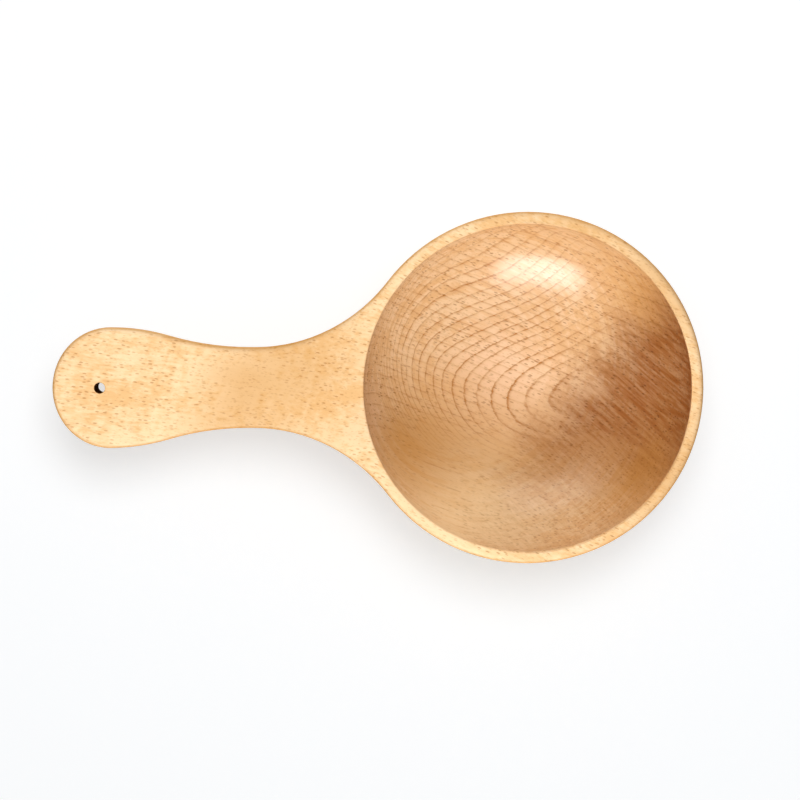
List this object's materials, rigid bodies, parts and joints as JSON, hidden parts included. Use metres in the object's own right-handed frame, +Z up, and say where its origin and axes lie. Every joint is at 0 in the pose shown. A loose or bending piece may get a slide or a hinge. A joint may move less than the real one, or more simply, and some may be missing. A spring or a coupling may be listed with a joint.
{
  "type": "water dipper",
  "caption": "Wooden water dipper: a round turned bowl with a flat foot, and a short waisted paddle handle with a hanging hole.",
  "frame": {"origin": "on the bowl's axis, in the plane of the foot that it stands on", "axes": "+Z up along the bowl's axis, -X along the handle, +X to the bowl's far edge"},
  "size_m": [0.254, 0.1372, 0.048],
  "materials": {
    "wood": "clear satin lacquer"
  },
  "bodies": {
    "root": {"dipper": "wood"}
  },
  "joints": []
}
